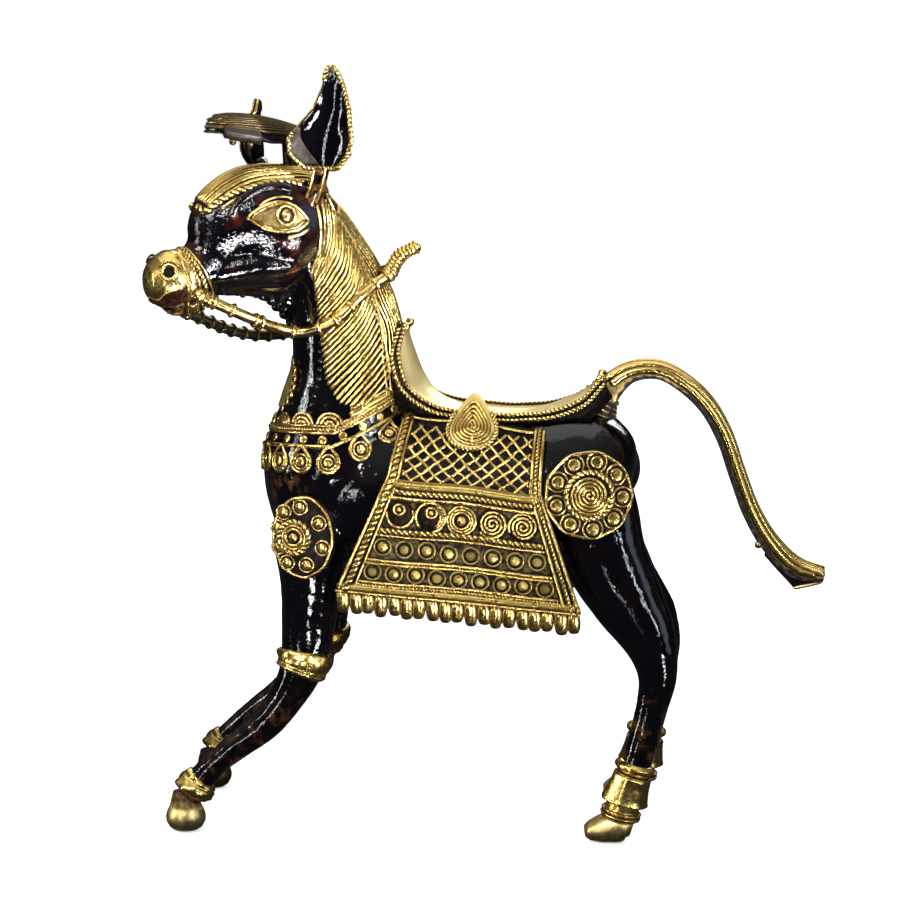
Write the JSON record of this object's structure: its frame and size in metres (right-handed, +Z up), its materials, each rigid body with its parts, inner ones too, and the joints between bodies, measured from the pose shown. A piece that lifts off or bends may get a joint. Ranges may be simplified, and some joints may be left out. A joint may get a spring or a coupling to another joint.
{
  "type": "dhokra horse figure",
  "caption": "Cast metal horse figure that stands on its hooves, in saddle, cloth and reins, its head turned to one side",
  "frame": {"origin": "on the floor under the middle of the figure's box", "axes": "-X towards the muzzle, +X towards the tail, -Y towards the near side that the picture shows, +Z up"},
  "size_m": [0.1722, 0.0538, 0.1971],
  "materials": {
    "cast_brass": "polished on the raised ornament, dark glossy lacquer on the plain skin and in the recesses"
  },
  "bodies": {
    "root": {"dhokra_horse": "cast_brass"}
  },
  "joints": []
}
